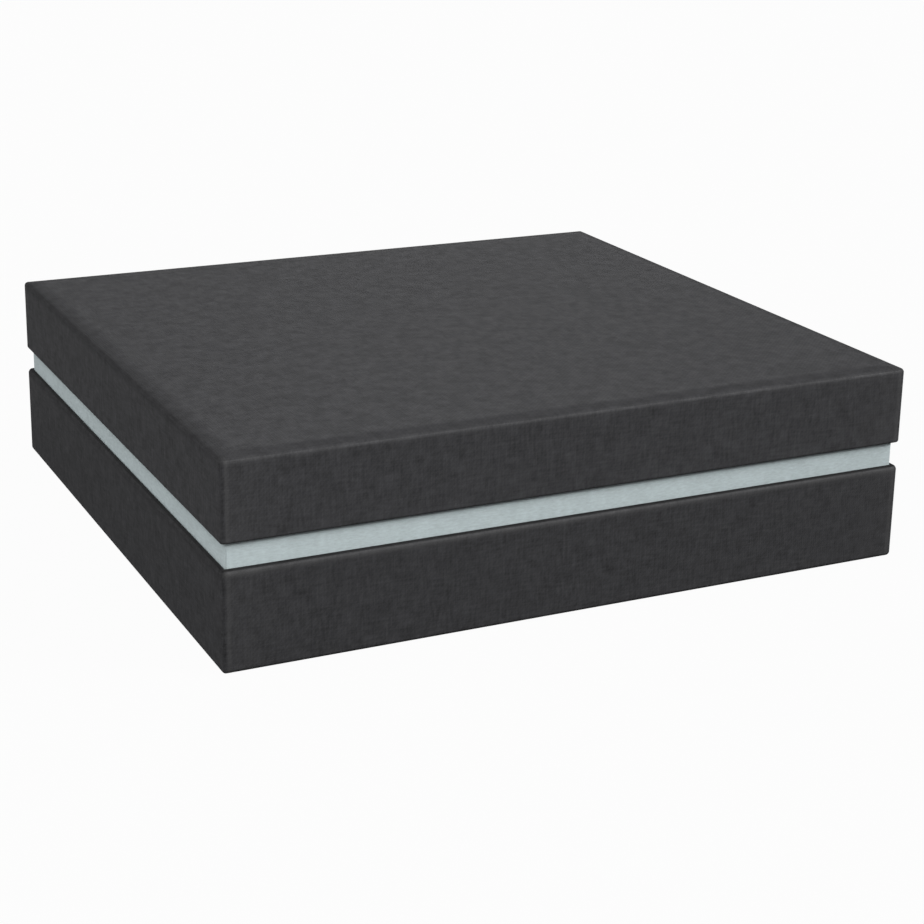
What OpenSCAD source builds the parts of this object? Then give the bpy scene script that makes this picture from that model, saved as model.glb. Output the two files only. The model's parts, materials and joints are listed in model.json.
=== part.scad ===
// Rigid gift box with a lift-off lid over a shoulder neck.
// Three board structures share one plan centre: the base tray, the neck that
// stands in it, and the lid that comes down over the neck. The lid rests on the
// neck's top edge before it reaches the tray, so a band of the neck shows.
// Origin: centre of the underside. +X right, +Y back, +Z up, seen from the front.

/* [Box] */
// Outside width, left to right
box_w = 330; // [200:1:450]
// Outside depth, front to back
box_d = 308; // [180:1:420]
// Outside height of the base tray
base_h = 45; // [30:0.5:90]
// Height of the neck that shows between base and lid
reveal_h = 11; // [4:0.5:25]
// Outside height of the lid
lid_h = 36; // [24:0.5:60]

/* [Board and paper] */
// Thickness of the greyboard of lid and base
board_t = 2; // [1.6:0.1:3]
// Thickness of the neck's greyboard
neck_board_t = 1.5; // [1.2:0.1:2.5]
// Thickness of the textured paper round lid and base
wrap_t = 0.2; // [0.14:0.02:0.3]
// Thickness of the pale paper round the neck
neck_paper_t = 0.2; // [0.14:0.02:0.3]
// Thickness of the paper tape that holds the corners
stay_t = 0.14; // [0.1:0.02:0.24]
// Thickness of the lining sheets
liner_t = 0.24; // [0.16:0.02:0.4]

/* [Edges] */
// Outside radius of the standing corners and of the top and bottom edges
edge_r = 2; // [1.2:0.1:2.4]
// Outside radius where the textured paper folds over the base's rim
base_rim_r = 2.4; // [0.6:0.1:2.4]
// Outside radius where the textured paper folds under the lid's rim
lid_rim_r = 1.2; // [0.6:0.1:1.6]
// Outside radius of the neck's standing corners
neck_r = 1; // [0.7:0.1:1.4]
// Width of the strip along each edge of the lid's top that falls away to the fold
roll_w = 6; // [2:0.5:12]
// Angle at which that strip falls away, in degrees
roll_angle = 3; // [1:0.5:5]

/* [Paper folds] */
// How far the base's paper is turned down inside its rim
base_turn_in = 18; // [8:1:25]
// How far short of the ceiling the lid's turned-in paper stops
lid_turn_short = 1.5; // [0.5:0.5:8]
// How far each leg of a corner stay reaches from its corner
stay_leg = 20; // [12:1:30]
// How far a corner stay stops short of the ends of its corner
stay_short = 3; // [2:0.5:8]

/* [Fits] */
// Gap between the neck and the walls outside it
neck_gap = 0.25; // [0.15:0.05:0.5]
// Gap round the edges of a lining sheet
liner_gap = 0.5; // [0.3:0.1:0.8]
// Width of the slit where two walls of one blank meet
corner_slit = 0.1; // [0.05:0.05:0.3]

/* [Hidden] */
$fn = 48;

// Heights
box_h = base_h + reveal_h + lid_h;
lid_z = base_h + reveal_h;
floor_z = wrap_t + board_t;
ceiling_z = box_h - wrap_t - board_t;
neck_top_z = ceiling_z - liner_t;

// Distances in from the box's outside face
board_in = wrap_t;
wall_in = board_in + board_t;
turn_in_in = wall_in + wrap_t;
neck_in = turn_in_in + neck_gap;
neck_board_in = neck_in + neck_paper_t;
neck_wall_in = neck_board_in + neck_board_t;
hollow_in = neck_wall_in + neck_paper_t;

// Radii of the boards, inside the paper that goes round them
board_edge_r = edge_r - wrap_t;
base_board_rim_r = base_rim_r - wrap_t;
lid_board_rim_r = lid_rim_r - wrap_t;
neck_board_r = neck_r - neck_paper_t;

charcoal = [0.23, 0.23, 0.24];
pale = [0.68, 0.72, 0.73];
greyboard = [0.56, 0.53, 0.49];
tape = [0.80, 0.77, 0.70];

// A corner is [side in X, side in Y]
FRONT_LEFT = [-1, -1];
FRONT_RIGHT = [1, -1];
BACK_RIGHT = [1, 1];
BACK_LEFT = [-1, 1];
CORNERS = [FRONT_LEFT, FRONT_RIGHT, BACK_RIGHT, BACK_LEFT];

// ---- Shapes that repeat ----

// Centred rectangle from low to high, with one radius at its low corners and one at its high
// ones. Its high side can fall away over a strip at each end, which runs into the round.
module profile(width, low, high, r_low, r_high, strip = 0) {
    half = width / 2;
    angle = strip > 0 ? roll_angle : 0;
    fall = tan(angle) * (strip + r_high * sin(angle)) - r_high * (1 - cos(angle));
    centre = [half - r_high, high - fall - r_high];
    high_points = strip > 0
        ? [centre + r_high * [sin(angle), cos(angle)], [centre[0] - strip, high]]
        : [[centre[0], high]];
    right = concat([[half - r_low, low], [half, low + r_low], [half, centre[1]]], high_points);
    left = [for (i = [len(right) - 1 : -1 : 0]) [-right[i][0], right[i][1]]];
    polygon(concat(right, left));
    for (side = [-1, 1]) {
        translate([side * (half - r_low), low + r_low]) circle(r = r_low);
        translate([side * centre[0], centre[1]]) circle(r = r_high);
    }
}

// Plan of the box, drawn in from its outside face by inset
module plan(inset, r) {
    depth = box_d - 2 * inset;
    profile(box_w - 2 * inset, -depth / 2, depth / 2, r, r);
}

// Plan of the box with square corners
module square_plan(inset) {
    square([box_w - 2 * inset, box_d - 2 * inset], center = true);
}

module prism(low, high) {
    translate([0, 0, low]) linear_extrude(high - low) children();
}

// Block over the box's plan with every outside edge rounded. Each standing corner is a
// turning of the outline's outer end.
module block(inset, low, high, r_side, r_low, r_high, strip = 0) {
    width = box_w - 2 * inset;
    depth = box_d - 2 * inset;
    intersection() {
        prism(low, high) difference() {
            square_plan(inset);
            for (corner = CORNERS)
                translate([corner[0] * width / 2, corner[1] * depth / 2])
                    square(2 * r_side, center = true);
        }
        rotate([90, 0, 0]) linear_extrude(box_d, center = true)
            profile(width, low, high, r_low, r_high, strip);
        rotate([90, 0, 90]) linear_extrude(box_w, center = true)
            profile(depth, low, high, r_low, r_high, strip);
    }
    for (corner = CORNERS)
        translate([corner[0] * (width / 2 - r_side), corner[1] * (depth / 2 - r_side), 0])
            rotate_extrude() intersection() {
                translate([0, low]) square([r_side, high - low]);
                translate([r_side - width / 2, 0])
                    profile(width, low, high, r_low, r_high, strip);
            }
}

// Standing ring between two insets, rounded outside and square inside
module ring(outer_in, inner_in, low, high, r) {
    prism(low, high) difference() {
        plan(outer_in, r);
        square_plan(inner_in);
    }
}

// Recess for the paper tape round one standing corner of a face at inset,
// open to the outside
module stay_recess(corner, inset, r, low, high) {
    reach = inset + stay_leg;
    prism(low + stay_short, high - stay_short) difference() {
        translate([corner[0] * (box_w - reach) / 2, corner[1] * (box_d - reach) / 2])
            square(reach, center = true);
        plan(inset + stay_t, r - stay_t);
    }
}

// Paper tape in its recess, flush with the face
module stay(corner, inset, r, low, high) {
    color(tape) intersection() {
        stay_recess(corner, inset, r, low, high);
        prism(low, high) plan(inset, r);
    }
}

// Plan of the hollow in a folded blank, with the slits where the side walls
// meet the front and back ones
module folded_hollow_plan() {
    inner_d = box_d - 2 * wall_in;
    square_plan(wall_in);
    difference() {
        square([box_w, inner_d], center = true);
        square([2 * box_w, inner_d - 2 * corner_slit], center = true);
    }
}

// ---- Base tray ----

base_rim_z = base_h - wrap_t;

module base_stay(corner) {
    stay(corner, board_in, board_edge_r, board_in, base_rim_z);
}

module base_stay_recesses() {
    for (corner = CORNERS)
        stay_recess(corner, board_in, board_edge_r, board_in, base_rim_z);
}

module base_board_block() {
    block(board_in, board_in, base_rim_z, board_edge_r, board_edge_r, base_board_rim_r);
}

module base_tray_board() {
    color(greyboard) difference() {
        base_board_block();
        prism(floor_z, base_h) folded_hollow_plan();
        base_stay_recesses();
    }
}

module base_wrap() {
    color(charcoal) {
        difference() {
            block(0, 0, base_h, edge_r, edge_r, base_rim_r);
            base_board_block();
            prism(base_rim_z - base_rim_r, lid_z) square_plan(turn_in_in);
        }
        prism(base_h - base_turn_in, base_rim_z) difference() {
            square_plan(wall_in);
            square_plan(turn_in_in);
        }
    }
}

module base_floor_liner() {
    color(pale) prism(floor_z, floor_z + liner_t) square_plan(hollow_in + liner_gap);
}

// ---- Neck ----

neck_board_top_z = neck_top_z - neck_paper_t;

module neck_stay(corner) {
    stay(corner, neck_board_in, neck_board_r, floor_z, neck_board_top_z);
}

module neck_stay_recesses() {
    for (corner = CORNERS)
        stay_recess(corner, neck_board_in, neck_board_r, floor_z, neck_board_top_z);
}

// One standing board of the neck, its plan given by the child, with the stays let into it
module neck_board() {
    color(greyboard) difference() {
        prism(floor_z, neck_board_top_z) children();
        neck_stay_recesses();
    }
}

// The front and back boards take in the corners
module neck_long_board(side) {
    neck_board() intersection() {
        plan(neck_board_in, neck_board_r);
        translate([0, side * (box_d / 2 - neck_board_in - neck_board_t / 2)])
            square([box_w, neck_board_t], center = true);
    }
}

// The side boards stand between the front and back ones
module neck_short_board(side) {
    neck_board()
        translate([side * (box_w / 2 - neck_board_in - neck_board_t / 2), 0])
            square([neck_board_t, box_d - 2 * neck_wall_in], center = true);
}

module neck_wrap() {
    color(pale) difference() {
        ring(neck_in, hollow_in, floor_z, neck_top_z, neck_r);
        ring(neck_board_in, neck_wall_in, 0, neck_board_top_z, neck_board_r);
    }
}

// ---- Lid ----

lid_rim_z = lid_z + wrap_t;
lid_board_top_z = box_h - wrap_t;

module lid_stay(corner) {
    stay(corner, board_in, board_edge_r, lid_rim_z, lid_board_top_z);
}

module lid_stay_recesses() {
    for (corner = CORNERS)
        stay_recess(corner, board_in, board_edge_r, lid_rim_z, lid_board_top_z);
}

module lid_board_block() {
    block(board_in, lid_rim_z, lid_board_top_z, board_edge_r, lid_board_rim_r, board_edge_r, roll_w);
}

module lid_tray_board() {
    color(greyboard) difference() {
        lid_board_block();
        prism(lid_z, ceiling_z) folded_hollow_plan();
        lid_stay_recesses();
    }
}

module lid_wrap() {
    color(charcoal) {
        difference() {
            block(0, lid_z, box_h, edge_r, lid_rim_r, edge_r, roll_w);
            lid_board_block();
            prism(base_h, lid_rim_z + lid_rim_r) square_plan(turn_in_in);
        }
        prism(lid_rim_z, ceiling_z - lid_turn_short) difference() {
            square_plan(wall_in);
            square_plan(turn_in_in);
        }
    }
}

module lid_top_liner() {
    color(pale) prism(neck_top_z, ceiling_z) square_plan(wall_in + liner_gap);
}

// ---- Nodes ----

base_tray_board();
base_stay(FRONT_LEFT);  // base_stay_front_left
base_stay(FRONT_RIGHT);  // base_stay_front_right
base_stay(BACK_RIGHT);  // base_stay_back_right
base_stay(BACK_LEFT);  // base_stay_back_left
base_wrap();
base_floor_liner();
neck_long_board(-1);  // neck_board_front
neck_long_board(1);  // neck_board_back
neck_short_board(1);  // neck_board_right
neck_short_board(-1);  // neck_board_left
neck_stay(FRONT_LEFT);  // neck_stay_front_left
neck_stay(FRONT_RIGHT);  // neck_stay_front_right
neck_stay(BACK_RIGHT);  // neck_stay_back_right
neck_stay(BACK_LEFT);  // neck_stay_back_left
neck_wrap();
lid_tray_board();
lid_stay(FRONT_LEFT);  // lid_stay_front_left
lid_stay(FRONT_RIGHT);  // lid_stay_front_right
lid_stay(BACK_RIGHT);  // lid_stay_back_right
lid_stay(BACK_LEFT);  // lid_stay_back_left
lid_wrap();
lid_top_liner();
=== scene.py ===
"""Looks of a rigid gift box: a lift-off lid over a pale neck that stands in a base tray.

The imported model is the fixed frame. The papers round the base, the neck and the lid are modelled here as
folded sheets, with their laps, cut edges and seams, and stand for the plain wraps of the frame. The boards,
the corner stays and the lining sheets are the frame's own nodes, and are finished here. Sizes are in
millimetres until a mesh is made, and the frame's axes are kept: X to the right, Y to the back, Z up.
"""
import json
import logging
import math
from collections.abc import Callable, Sequence
from dataclasses import dataclass, field
from enum import Enum

import bmesh
import bpy
from mathutils import Matrix, Vector

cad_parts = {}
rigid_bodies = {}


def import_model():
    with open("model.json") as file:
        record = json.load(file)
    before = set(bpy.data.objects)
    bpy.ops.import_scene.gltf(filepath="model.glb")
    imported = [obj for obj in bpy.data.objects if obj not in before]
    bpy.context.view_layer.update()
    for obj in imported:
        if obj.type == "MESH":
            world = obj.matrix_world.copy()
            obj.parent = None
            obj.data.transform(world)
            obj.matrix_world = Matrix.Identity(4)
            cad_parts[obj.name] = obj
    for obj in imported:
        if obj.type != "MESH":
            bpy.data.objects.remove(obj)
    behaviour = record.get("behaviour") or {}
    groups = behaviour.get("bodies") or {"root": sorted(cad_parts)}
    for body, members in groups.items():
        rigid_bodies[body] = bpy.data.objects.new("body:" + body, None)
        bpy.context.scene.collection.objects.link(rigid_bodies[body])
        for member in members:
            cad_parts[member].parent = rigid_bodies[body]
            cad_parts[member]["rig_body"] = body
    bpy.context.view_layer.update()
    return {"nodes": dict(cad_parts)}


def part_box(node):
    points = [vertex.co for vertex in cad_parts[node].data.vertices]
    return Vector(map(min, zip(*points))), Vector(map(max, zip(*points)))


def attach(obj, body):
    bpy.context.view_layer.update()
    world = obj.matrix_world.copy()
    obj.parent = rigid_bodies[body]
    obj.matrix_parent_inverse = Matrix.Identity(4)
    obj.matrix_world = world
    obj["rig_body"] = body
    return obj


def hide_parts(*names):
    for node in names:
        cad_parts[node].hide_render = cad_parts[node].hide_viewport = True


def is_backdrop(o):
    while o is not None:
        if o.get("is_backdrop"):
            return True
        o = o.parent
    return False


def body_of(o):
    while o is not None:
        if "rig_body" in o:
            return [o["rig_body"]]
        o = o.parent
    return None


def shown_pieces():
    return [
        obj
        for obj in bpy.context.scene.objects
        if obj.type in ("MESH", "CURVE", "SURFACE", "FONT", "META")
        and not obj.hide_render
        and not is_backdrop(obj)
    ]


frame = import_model()

LOG = logging.getLogger("gift_box")
MM = 0.001
SHARP_FOLD = 28.0  # degrees between two faces from which a fold is drawn sharp
SAME_POINT = 1e-7  # metres within which two points of a sheet are one

Socket = bpy.types.NodeSocket
Colour = tuple[float, float, float]
Signal = Socket | float | Colour


# ---- What the frame says ----


class Slot(Enum):
    """The record's material slots."""

    TEXTURED_WRAP = "textured_wrap"
    NECK_PAPER = "neck_paper"
    LINING_PAPER = "lining_paper"
    GREYBOARD = "greyboard"
    STAY_TAPE = "stay_tape"


class Side(Enum):
    """The standing sides in their order round the box, each as its direction along and its direction out."""

    FRONT = ((1, 0), (0, -1))
    RIGHT = ((0, 1), (1, 0))
    BACK = ((-1, 0), (0, 1))
    LEFT = ((0, -1), (-1, 0))

    @property
    def is_long(self) -> bool:
        """True for the front and the back, whose paper panels cover the laps."""
        return self in (Side.FRONT, Side.BACK)


CORNERS = ("front_left", "front_right", "back_right", "back_left")


@dataclass(frozen=True)
class NodeBox:
    """Lowest and highest corner of one CAD node, in millimetres."""

    low: Vector
    high: Vector

    @classmethod
    def of(cls, node: str) -> "NodeBox":
        """Reads a node's box from the frame.

        Args:
            node: Name of the CAD node.

        Returns:
            Its box in millimetres.
        """
        low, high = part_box(node)
        return cls(low / MM, high / MM)


# ---- Folded paper as geometry ----


@dataclass(frozen=True)
class Line:
    """One line of a sheet round the form: its inset, its height and how much of a lap shows on it."""

    inset: float
    z: float
    lap: float = 0.0


def arc(centre: tuple[float, float], radii: tuple[float, float], start: float, end: float,
        steps: int, laps: tuple[float, float] = (0.0, 0.0)) -> list[Line]:
    """Lines along a rounded fold.

    Args:
        centre: Inset and height of the arc's centre.
        radii: Radius across the insets and radius across the heights.
        start: First angle in degrees, where 0 points inwards and 90 up.
        end: Last angle in degrees.
        steps: Number of chords.
        laps: Share of the lap that shows on the first line and on the last one.

    Returns:
        The arc's lines, both ends included.
    """
    lines = []
    for i in range(steps + 1):
        share = i / steps
        angle = math.radians(start + (end - start) * share)
        inset = centre[0] + radii[0] * math.cos(angle)
        z = centre[1] + radii[1] * math.sin(angle)
        lines.append(Line(inset, z, laps[0] + (laps[1] - laps[0]) * share))
    return lines


def even(low: float, high: float, pitch: float) -> list[float]:
    """Values from low to high, both included, at most pitch apart."""
    count = max(1, math.ceil((high - low) / pitch))
    return [low + (high - low) * i / count for i in range(count + 1)]


@dataclass
class FoldedSheet:
    """Paper folded round a rectangular form, built as one closed thin solid.

    Every line has the same columns, so two neighbouring lines are joined by a strip of faces. A line's
    corners are as much tighter as the line is further in, down to one point, where they are merged.
    """

    name: str
    half_w: float
    half_d: float
    corner_r: float
    columns_long: Sequence[float]
    columns_short: Sequence[float]
    relief: Callable[[Side, float], float]
    corner_steps: int = 8
    rows: list[list[Vector]] = field(default_factory=list)
    panels: list[tuple[float, float]] = field(default_factory=list)

    def add_lines(self, lines: Sequence[Line]) -> None:
        """Adds lines to the sheet, in order."""
        self.rows.extend(self._row(line) for line in lines)

    def _row(self, line: Line) -> list[Vector]:
        """The points of one line, once round the form.

        Args:
            line: The line.

        Returns:
            Its points in metres.
        """
        points = []
        radius = max(0.0, self.corner_r - line.inset)
        axis_in = max(self.corner_r, line.inset)
        for side in Side:
            halves = (self.half_w, self.half_d) if side.is_long else (self.half_d, self.half_w)
            end, axis_out = halves[0] - axis_in, halves[1] - axis_in
            for place in self.columns_long if side.is_long else self.columns_short:
                out = axis_out + radius + self.relief(side, place) * line.lap
                points.append(self._point(side, max(-end, min(end, place)), out, line.z))
            for step in range(1, self.corner_steps):
                angle = math.pi / 2 * step / self.corner_steps
                along, out = end + radius * math.sin(angle), axis_out + radius * math.cos(angle)
                points.append(self._point(side, along, out, line.z))
        return points

    @staticmethod
    def _point(side: Side, along: float, out: float, z: float) -> Vector:
        """A point of a side, in metres."""
        (ax, ay), (ox, oy) = side.value
        return Vector((ax * along + ox * out, ay * along + oy * out, z)) * MM

    def add_panel(self, inset: float, z: float) -> None:
        """Closes the sheet over a rectangle whose rim is its first or last line, at that inset and height."""
        self.panels.append((inset, z))

    def build(self, looped: bool) -> bpy.types.Object:
        """Makes the mesh.

        Args:
            looped: True if the last line joins the first, as round a ring.

        Returns:
            The new object, in the frame's own place.
        """
        bm = bmesh.new()
        rows = [[bm.verts.new(point) for point in row] for row in self.rows]
        pairs = list(zip(rows, rows[1:]))
        if looped:
            pairs.append((rows[-1], rows[0]))
        for first, second in pairs:
            for i in range(len(first)):
                j = (i + 1) % len(first)
                bm.faces.new((first[i], first[j], second[j], second[i]))
        for inset, z in self.panels:
            self._fill_panel(bm, inset, z)
        bmesh.ops.remove_doubles(bm, verts=bm.verts, dist=SAME_POINT)
        bmesh.ops.recalc_face_normals(bm, faces=bm.faces)
        mesh = bpy.data.meshes.new(self.name)
        bm.to_mesh(mesh)
        bm.free()
        mesh.shade_smooth()
        mesh.set_sharp_from_angle(angle=math.radians(SHARP_FOLD))
        piece = bpy.data.objects.new(self.name, mesh)
        bpy.context.scene.collection.objects.link(piece)
        return piece

    def _fill_panel(self, bm: bmesh.types.BMesh, inset: float, z: float) -> None:
        """Fills a flat panel with a grid over the sheet's own columns.

        Args:
            bm: The mesh being built.
            inset: How far in the panel's rim runs.
            z: Height of the panel.
        """
        end_x, end_y = self.half_w - inset, self.half_d - inset
        xs = sorted({max(-end_x, min(end_x, x)) for x in self.columns_long})
        ys = sorted({max(-end_y, min(end_y, y)) for y in self.columns_short})
        grid = [[bm.verts.new(Vector((x, y, z)) * MM) for x in xs] for y in ys]
        for low, high in zip(grid, grid[1:]):
            for i in range(len(xs) - 1):
                bm.faces.new((low[i], low[i + 1], high[i + 1], high[i]))


# ---- Shader wiring ----


class Wiring:
    """Adds nodes to one node tree and joins them."""

    def __init__(self, tree: bpy.types.NodeTree) -> None:
        """Starts on an empty tree."""
        self.tree = tree
        tree.nodes.clear()

    def node(self, kind: str, **settings: object) -> bpy.types.Node:
        """Adds a node.

        Args:
            kind: Blender's name of the node.
            settings: Its properties by name.

        Returns:
            The new node.
        """
        made = self.tree.nodes.new(kind)
        for name, value in settings.items():
            setattr(made, name, value)
        return made

    def put(self, socket: Socket, value: Signal) -> None:
        """Links a socket to another one, or sets it to a plain value.

        Args:
            socket: An input.
            value: What it gets.
        """
        if isinstance(value, bpy.types.NodeSocket):
            self.tree.links.new(value, socket)
        elif isinstance(value, tuple) and socket.type == "RGBA":
            socket.default_value = (*value, 1.0)
        else:
            socket.default_value = value

    def math(self, operation: str, *values: Signal, clamp: bool = False) -> Socket:
        """Adds one scalar operation.

        Args:
            operation: Blender's name of it.
            values: Its inputs in order.
            clamp: True to hold the result between 0 and 1.

        Returns:
            The result.
        """
        made = self.node("ShaderNodeMath", operation=operation, use_clamp=clamp)
        for socket, value in zip(made.inputs, values):
            self.put(socket, value)
        return made.outputs[0]

    def vector(self, operation: str, *values: Signal) -> Socket:
        """Adds one vector operation.

        Args:
            operation: Blender's name of it.
            values: Its inputs in order.

        Returns:
            The result.
        """
        made = self.node("ShaderNodeVectorMath", operation=operation)
        for socket, value in zip(made.inputs, values):
            self.put(socket, value)
        return made.outputs["Vector"]

    def split(self, value: Signal) -> tuple[Socket, Socket, Socket]:
        """Splits a vector.

        Args:
            value: The vector.

        Returns:
            Its three parts.
        """
        made = self.node("ShaderNodeSeparateXYZ")
        self.put(made.inputs[0], value)
        return made.outputs[0], made.outputs[1], made.outputs[2]

    def join(self, x: Signal, y: Signal, z: Signal) -> Socket:
        """Joins three parts.

        Args:
            x: First part.
            y: Second part.
            z: Third part.

        Returns:
            The vector.
        """
        made = self.node("ShaderNodeCombineXYZ")
        for socket, value in zip(made.inputs, (x, y, z)):
            self.put(socket, value)
        return made.outputs[0]

    def choose(self, test: Signal, no: Signal, yes: Signal) -> Socket:
        """Goes from one scalar to another.

        Args:
            test: Where to go, 0 to 1.
            no: The scalar at 0.
            yes: The scalar at 1.

        Returns:
            The scalar between them.
        """
        made = self.node("ShaderNodeMix", data_type="FLOAT")
        for socket, value in zip((made.inputs[0], made.inputs[2], made.inputs[3]), (test, no, yes)):
            self.put(socket, value)
        return made.outputs[0]

    def blend(self, factor: Signal, first: Signal, second: Signal) -> Socket:
        """Goes from one colour to another.

        Args:
            factor: Where to go, 0 to 1.
            first: The colour at 0.
            second: The colour at 1.

        Returns:
            The colour between them.
        """
        made = self.node("ShaderNodeMix", data_type="RGBA")
        for socket, value in zip((made.inputs[0], made.inputs[6], made.inputs[7]), (factor, first, second)):
            self.put(socket, value)
        return made.outputs[2]

    def noise(self, place: Signal, scale: Signal, detail: float = 2.0, roughness: float = 0.5) -> Socket:
        """Adds soft three-dimensional noise.

        Args:
            place: Where it is read.
            scale: Cells to a unit of place.
            detail: Number of finer layers.
            roughness: Share of each finer layer.

        Returns:
            The noise, about 0 to 1.
        """
        made = self.node("ShaderNodeTexNoise")
        self.put(made.inputs["Vector"], place)
        self.put(made.inputs["Scale"], scale)
        self.put(made.inputs["Detail"], detail)
        self.put(made.inputs["Roughness"], roughness)
        return made.outputs["Fac"]

    def spread(self, value: Signal, low: Signal, high: Signal, to_low: Signal = 0.0, to_high: Signal = 1.0,
               smooth: bool = False) -> Socket:
        """Maps a range of values to another one and stops at its ends.

        Args:
            value: The value.
            low: Start of its range.
            high: End of its range.
            to_low: Result at the start and below it.
            to_high: Result at the end and past it.
            smooth: True to ease in and out.

        Returns:
            The result.
        """
        kind = "SMOOTHSTEP" if smooth else "LINEAR"
        made = self.node("ShaderNodeMapRange", clamp=True, interpolation_type=kind)
        for socket, given in zip(made.inputs, (value, low, high, to_low, to_high)):
            self.put(socket, given)
        return made.outputs[0]

    def weighted(self, *terms: tuple[Signal, float]) -> Socket:
        """Adds up values by their weights.

        Args:
            terms: Each value, 0 or more, with its weight.

        Returns:
            The sum, held between 0 and 1.
        """
        total, *others = (self.math("MULTIPLY", value, weight) for value, weight in terms)
        for other in others:
            total = self.math("ADD", total, other, clamp=True)
        return total

    def group(self, group: "EffectGroup", **values: Signal) -> dict[str, Socket]:
        """Places a shared effect.

        Args:
            group: The effect.
            values: Its inputs by name, with an underscore for each space.

        Returns:
            Its outputs by name.
        """
        made = self.node("ShaderNodeGroup", node_tree=group.tree())
        for name, value in values.items():
            self.put(made.inputs[name.replace("_", " ")], value)
        return {socket.name: socket for socket in made.outputs}


class EffectGroup:
    """A shader node group that several finishes share. It is built once, when it is first placed."""

    NAME = ""
    INPUTS: dict[str, tuple[str, float]] = {}
    OUTPUTS: dict[str, str] = {}

    def tree(self) -> bpy.types.NodeTree:
        """Finds the group's node tree, or builds it.

        Returns:
            The tree.
        """
        found = bpy.data.node_groups.get(self.NAME)
        if found is not None:
            return found
        tree = bpy.data.node_groups.new(self.NAME, "ShaderNodeTree")
        for name, (kind, default) in self.INPUTS.items():
            socket = tree.interface.new_socket(name, in_out="INPUT", socket_type=kind)
            if kind == "NodeSocketFloat":
                socket.default_value = default
        for name, kind in self.OUTPUTS.items():
            tree.interface.new_socket(name, in_out="OUTPUT", socket_type=kind)
        wiring = Wiring(tree)
        inputs = wiring.node("NodeGroupInput")
        outputs = wiring.node("NodeGroupOutput")
        made = self.wire(wiring, {name: inputs.outputs[name] for name in self.INPUTS})
        for name, socket in made.items():
            tree.links.new(socket, outputs.inputs[name])
        return tree

    def wire(self, w: Wiring, given: dict[str, Socket]) -> dict[str, Socket]:
        """Makes the group's nodes.

        Args:
            w: The group's wiring.
            given: Its inputs by name.

        Returns:
            The sockets of its outputs by name.
        """
        raise NotImplementedError


FLOAT = "NodeSocketFloat"
VECTOR = "NodeSocketVector"


class FacePlace(EffectGroup):
    """Where a point lies on its own face: across and along it, in millimetres, with the threads running on
    over a fold."""

    NAME = "face_place"
    OUTPUTS = {"Place": VECTOR, "Solid Place": VECTOR, "Level": FLOAT, "Facing Side": FLOAT}
    LEVEL_FROM = 0.7  # least upright part of the normal of a level face
    SIDE_LAYER = 37.0  # sets the noise of the left and right faces apart from that of the others

    def wire(self, w: Wiring, given: dict[str, Socket]) -> dict[str, Socket]:
        """Picks two axes of the object's own space by the face's direction.

        Args:
            w: The group's wiring.
            given: Its inputs by name. It has none.

        Returns:
            The sockets of its outputs by name.
        """
        coordinates = w.node("ShaderNodeTexCoord")
        solid = w.vector("SCALE", coordinates.outputs["Object"])
        solid.node.inputs["Scale"].default_value = 1 / MM
        x, y, z = w.split(solid)
        nx, ny, nz = (w.math("ABSOLUTE", part) for part in w.split(coordinates.outputs["Normal"]))
        level = w.math("GREATER_THAN", nz, self.LEVEL_FROM)
        facing_side = w.math("MULTIPLY", w.math("GREATER_THAN", nx, ny), w.math("SUBTRACT", 1.0, level))
        across = w.choose(facing_side, x, y)
        along = w.choose(level, z, y)
        place = w.join(across, along, w.math("MULTIPLY", facing_side, self.SIDE_LAYER))
        return {"Place": place, "Solid Place": solid, "Level": level, "Facing Side": facing_side}


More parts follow.
